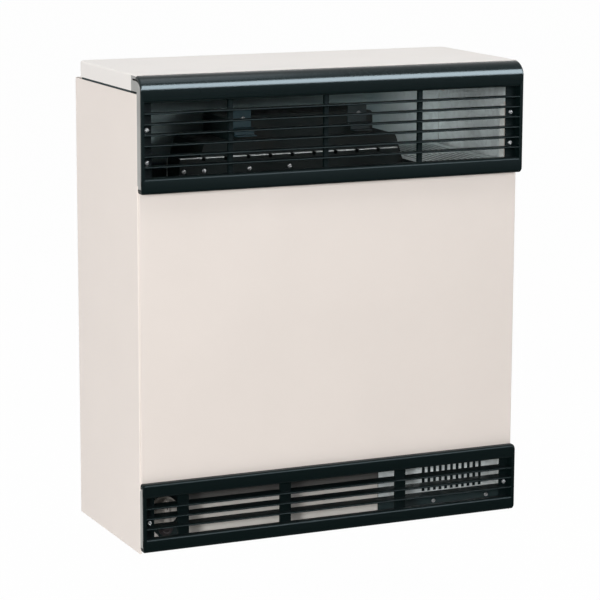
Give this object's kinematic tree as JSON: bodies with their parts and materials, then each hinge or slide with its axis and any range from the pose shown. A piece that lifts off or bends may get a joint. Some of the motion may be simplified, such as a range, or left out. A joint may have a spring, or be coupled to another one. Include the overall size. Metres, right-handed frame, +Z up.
{
  "type": "wall mounted gas heater",
  "caption": "Balanced-flue gas convector in a sheet casing with louvred grilles above and below a plain front, a turning control knob and a push igniter.",
  "frame": {"origin": "on the wall face, on the casing's centre line, midway between the two upper screws that the heater hangs on", "axes": "+Y into the wall, +Z up, +X to the right seen from the room"},
  "size_m": [0.57, 0.2655, 0.65],
  "materials": {
    "cream_enamel": "fine-textured semi-gloss cream enamel",
    "cover_enamel": "semi-gloss off-white enamel",
    "black_gloss": "glossy blue-black moulding",
    "cap_grey": "satin light grey",
    "galvanised": "galvanised sheet",
    "dark_sheet": "dark grey-green stove paint",
    "stove_black": "matt black heat-resisting paint",
    "beige_primer": "matt beige-grey",
    "bracket_steel": "blue-grey plated",
    "steel": "plated steel",
    "aluminium": "cast or drawn aluminium",
    "brass": "machined brass",
    "copper": "drawn copper",
    "knob_grey": "light grey moulding",
    "button_black": "black moulding",
    "ceramic": "glazed white",
    "gasket": "mineral fibre board",
    "sight_glass": "clear heat-resisting glass",
    "lead_red": "silicone rubber"
  },
  "bodies": {
    "heater": {"back_plate": "galvanised", "rear_shield": "galvanised", "side_panel_left": "cream_enamel", "side_panel_right": "cream_enamel", "side_liner_left": "galvanised", "side_liner_right": "galvanised", "cover_support_left": "galvanised", "cover_support_right": "galvanised", "front_panel": "cream_enamel", "top_cover": "cover_enamel", "upper_grille": "black_gloss", "lower_grille": "black_gloss", "upper_cap_left": "cap_grey", "upper_cap_right": "cap_grey", "lower_cap_left": "cap_grey", "lower_cap_right": "cap_grey", "upper_grille_screw_left_low": "steel", "upper_grille_screw_left_high": "steel", "lower_grille_screw_left": "steel", "upper_grille_screw_right_low": "steel", "upper_grille_screw_right_high": "steel", "lower_grille_screw_right": "steel", "combustion_chamber": "stove_black", "exchanger_hood": "stove_black", "hood_bracket_left": "bracket_steel", "hood_bracket_right": "bracket_steel", "hood_bracket_screw_left": "steel", "hood_bracket_screw_right": "steel", "front_shield": "stove_black", "exchanger_support_left": "galvanised", "exchanger_support_right": "galvanised", "air_box": "galvanised", "air_duct": "aluminium", "flue_duct": "aluminium", "flue_gasket": "gasket", "slotted_guard": "galvanised", "burner_box": "stove_black", "burner_tube": "steel", "injector": "brass", "pilot_burner": "steel", "spark_electrode": "ceramic", "thermocouple": "copper", "sight_frame": "steel", "sight_glass": "sight_glass", "burner_access_cover": "beige_primer", "control_bracket": "dark_sheet", "gas_valve_body": "aluminium", "piezo_body": "button_black", "gas_inlet_fitting": "brass", "inlet_support": "galvanised", "gas_inlet_pipe": "copper", "burner_feed_pipe": "aluminium", "pilot_tube": "aluminium", "ignition_lead": "lead_red", "thermostat_phial": "copper", "phial_clip": "steel"},
    "knob_carrier": {"spindle_sleeve": "brass"},
    "knob": {"control_knob": "knob_grey", "valve_spindle": "brass"},
    "igniter_button": {"piezo_button": "button_black"}
  },
  "joints": [
    {"name": "knob_push", "type": "slide", "parent": "heater", "child": "knob_carrier", "axis": [0, 1, 0], "range_m": [0, 0.004], "stiffness_N_per_m": 600, "springref_m": -0.004},
    {"name": "knob_turn", "type": "hinge", "parent": "knob_carrier", "child": "knob", "pos_m": [-0.239, -0.2168, -0.52], "axis": [0, -1, 0], "range_deg": [0, 270]},
    {"name": "button_push", "type": "slide", "parent": "heater", "child": "igniter_button", "axis": [0, 1, 0], "range_m": [0, 0.005], "stiffness_N_per_m": 1200, "springref_m": -0.002}
  ]
}
